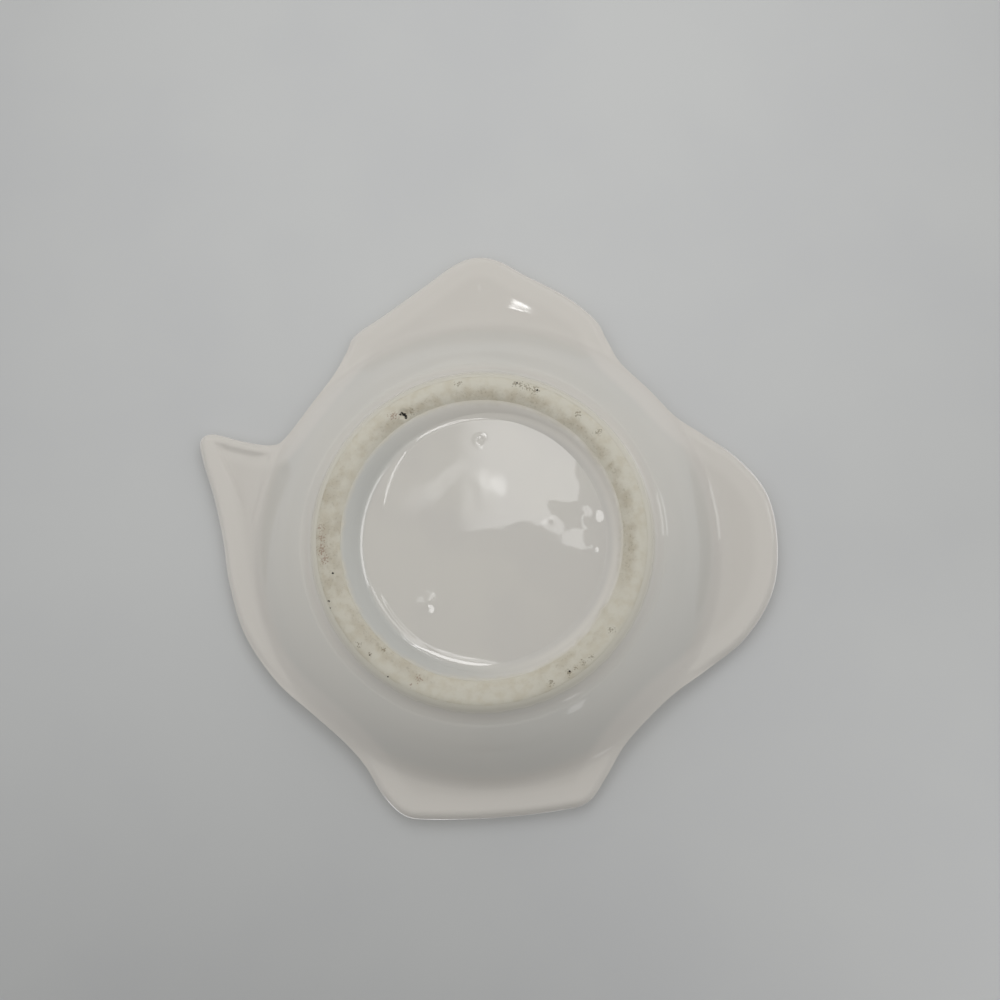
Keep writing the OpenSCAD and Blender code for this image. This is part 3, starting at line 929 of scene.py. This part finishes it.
def pane(piece, name, start, end, width, strength, soft=(0.0, 0.0, 0.0)):
    """A strip of window mirrored by one piece, from one point of the window's plane to another.

    Its light can rise softly: over a share of its length from the start and another from the end,
    and over a share of its width from both sides.
    """
    start, end = np.array(start, float), np.array(end, float)
    along = from_photo(*end, 0) - from_photo(*start, 0)
    place = from_photo(*(start + end) / 2, WINDOW_AWAY)
    made = lamp(name, place, CENTRE, float(np.hypot(*(end - start))), strength, width, along.normalized())
    made.visible_diffuse = False
    made.light_linking.receiver_collection = bpy.data.collections.new(name)
    made.light_linking.receiver_collection.objects.link(piece)
    if not any(soft):
        return
    made.data.use_nodes = True
    nodes, links = made.data.node_tree.nodes, made.data.node_tree.links
    split = nodes.new("ShaderNodeSeparateXYZ")
    links.new(nodes.new("ShaderNodeNewGeometry").outputs["Parametric"], split.inputs[0])
    light = 1.0
    from_start, from_end, from_sides = soft
    rises = [("X", 0.0, from_start), ("X", 1.0, 1 - from_end),
             ("Y", 0.0, from_sides), ("Y", 1.0, 1 - from_sides)]
    for axis, low, high in rises:
        if low == high:
            continue
        rise = nodes.new("ShaderNodeMapRange")
        rise.interpolation_type = "SMOOTHSTEP"
        links.new(split.outputs[axis], rise.inputs[0])
        rise.inputs[1].default_value = low
        rise.inputs[2].default_value = high
        both = nodes.new("ShaderNodeMath")
        both.operation = "MULTIPLY"
        links.new(rise.outputs[0], both.inputs[0])
        if isinstance(light, bpy.types.NodeSocket):
            links.new(light, both.inputs[1])
        else:
            both.inputs[1].default_value = light
        light = both.outputs[0]
    links.new(light, nodes["Emission"].inputs["Strength"])


# The lamps close over the dish light it softly and have no mirror image in its glaze
for near in (lamp("near_light", from_photo(-18, 46, 150), from_photo(-18, 46, 0), 352, 0.59),
             lamp("near_top_light", from_photo(0, 160, 200), from_photo(0, 40, 0), 200, 0.95)):
    near.visible_glossy = False

# The window as the recess's floor mirrors it
pane(RECESS, "window", (-132, 298), (5, 298), 152, 2.6, (0.5, 0.0, 0.0))
pane(RECESS, "window_side", (5, 318), (57, 318), 112, 2.7)
pane(RECESS, "window_hook", (5, 232), (28, 204), 17, 2.8)
pane(RECESS, "window_hook_end", (29, 202), (64, 194), 12, 2.8)
pane(RECESS, "window_core", (-100, 276), (-40, 276), 60, 3.6, (0.4, 0.4, 0.4))
pane(RECESS, "window_arm", (-90, 326), (-210, 228), 44, 1.6, (0.3, 0.4, 0.45))
# Light from beyond the floor's own mirror image, which only the glaze gathered round it catches
pane(RECESS, "beyond_right", (210, 20), (210, 330), 120, 5.0)
pane(RECESS, "beyond_low", (-110, -75), (150, -75), 100, 6.0)
pane(RECESS, "beyond_high", (-60, 470), (120, 470), 110, 8.0)
pane(RECESS, "beyond_left", (-370, 120), (-370, 330), 100, 1.6)
# What the lid and the bowl's foot mirror
pane(DISH, "lid_light", (-100, 446), (-74, 437), 12, 16.0)
pane(DISH, "wall_light", (2200, 420), (2200, 1000), 700, 2.0)
pane(DISH, "low_light", (1350, -2500), (1650, -2500), 500, 1.5)
# Lamps over the dish's upper side, for the views in which it stands on the floor
lamp("key_above", Vector((0.5, -0.6, 1.2)), Vector((0, 0, 0)), 1000, 1.0)
lamp("fill_above", Vector((-0.9, 0.3, 1.0)), Vector((0, 0, 0)), 1000, 0.5)

# Light from all round. Behind the paper it has a level, a tilt towards the picture's top, and more
# light from both sides; before the paper it comes from the sides and a little from the top.
LIGHT_BEHIND = 0.48
BEHIND_TILT = 0.12
BEHIND_SIDES = [((-1, 0, 0), 0.3), ((1, 0, 0), 0.4)]
LIGHT_BEFORE = [((-1, 0, 0), 0.63), ((1, 0, 0), 0.72), ((0, 1, 0), 0.1)]


def world():
    """The light from all round, and a plain backdrop for the camera alone."""
    made = bpy.data.worlds.new("world")
    bpy.context.scene.world = made
    made.use_nodes = True
    nodes, links = made.node_tree.nodes, made.node_tree.links
    towards = nodes.new("ShaderNodeTexCoord").outputs["Generated"]

    def calculate(operation, a, b, c=0.0):
        node = nodes.new("ShaderNodeMath")
        node.operation = operation
        for source, target in zip((a, b, c), node.inputs):
            if isinstance(source, bpy.types.NodeSocket):
                links.new(source, target)
            else:
                target.default_value = source
        return node.outputs[0]

    def facing(right, up, near):
        dot = nodes.new("ShaderNodeVectorMath")
        dot.operation = "DOT_PRODUCT"
        dot.inputs[1].default_value = (from_photo(right, up, near) - from_photo(0, 0, 0)).normalized()
        links.new(towards, dot.inputs[0])
        return dot.outputs["Value"]

    before = 0.0
    for axis, strength in LIGHT_BEFORE:
        before = calculate("MULTIPLY_ADD", calculate("MAXIMUM", facing(*axis), 0.0), strength, before)
    behind = calculate("MULTIPLY_ADD", facing(0, 1, 0), BEHIND_TILT, LIGHT_BEHIND)
    for axis, strength in BEHIND_SIDES:
        aside = calculate("POWER", calculate("MAXIMUM", facing(*axis), 0.0), 2.0)
        behind = calculate("MULTIPLY_ADD", aside, strength, behind)
    is_before = calculate("GREATER_THAN", facing(0, 0, 1), 0.0)
    change = calculate("SUBTRACT", before, behind)
    background = nodes["Background"]
    background.inputs["Color"].default_value = (1, 1, 1, 1)
    links.new(calculate("MULTIPLY_ADD", is_before, change, behind), background.inputs["Strength"])
    seen = nodes.new("ShaderNodeBackground")
    seen.inputs["Color"].default_value = BACKDROP_TONE
    choice = nodes.new("ShaderNodeMixShader")
    links.new(nodes.new("ShaderNodeLightPath").outputs["Is Camera Ray"], choice.inputs[0])
    links.new(background.outputs[0], choice.inputs[1])
    links.new(seen.outputs[0], choice.inputs[2])
    links.new(choice.outputs[0], nodes["World Output"].inputs["Surface"])


world()
bpy.context.scene.view_settings.view_transform = "Standard"
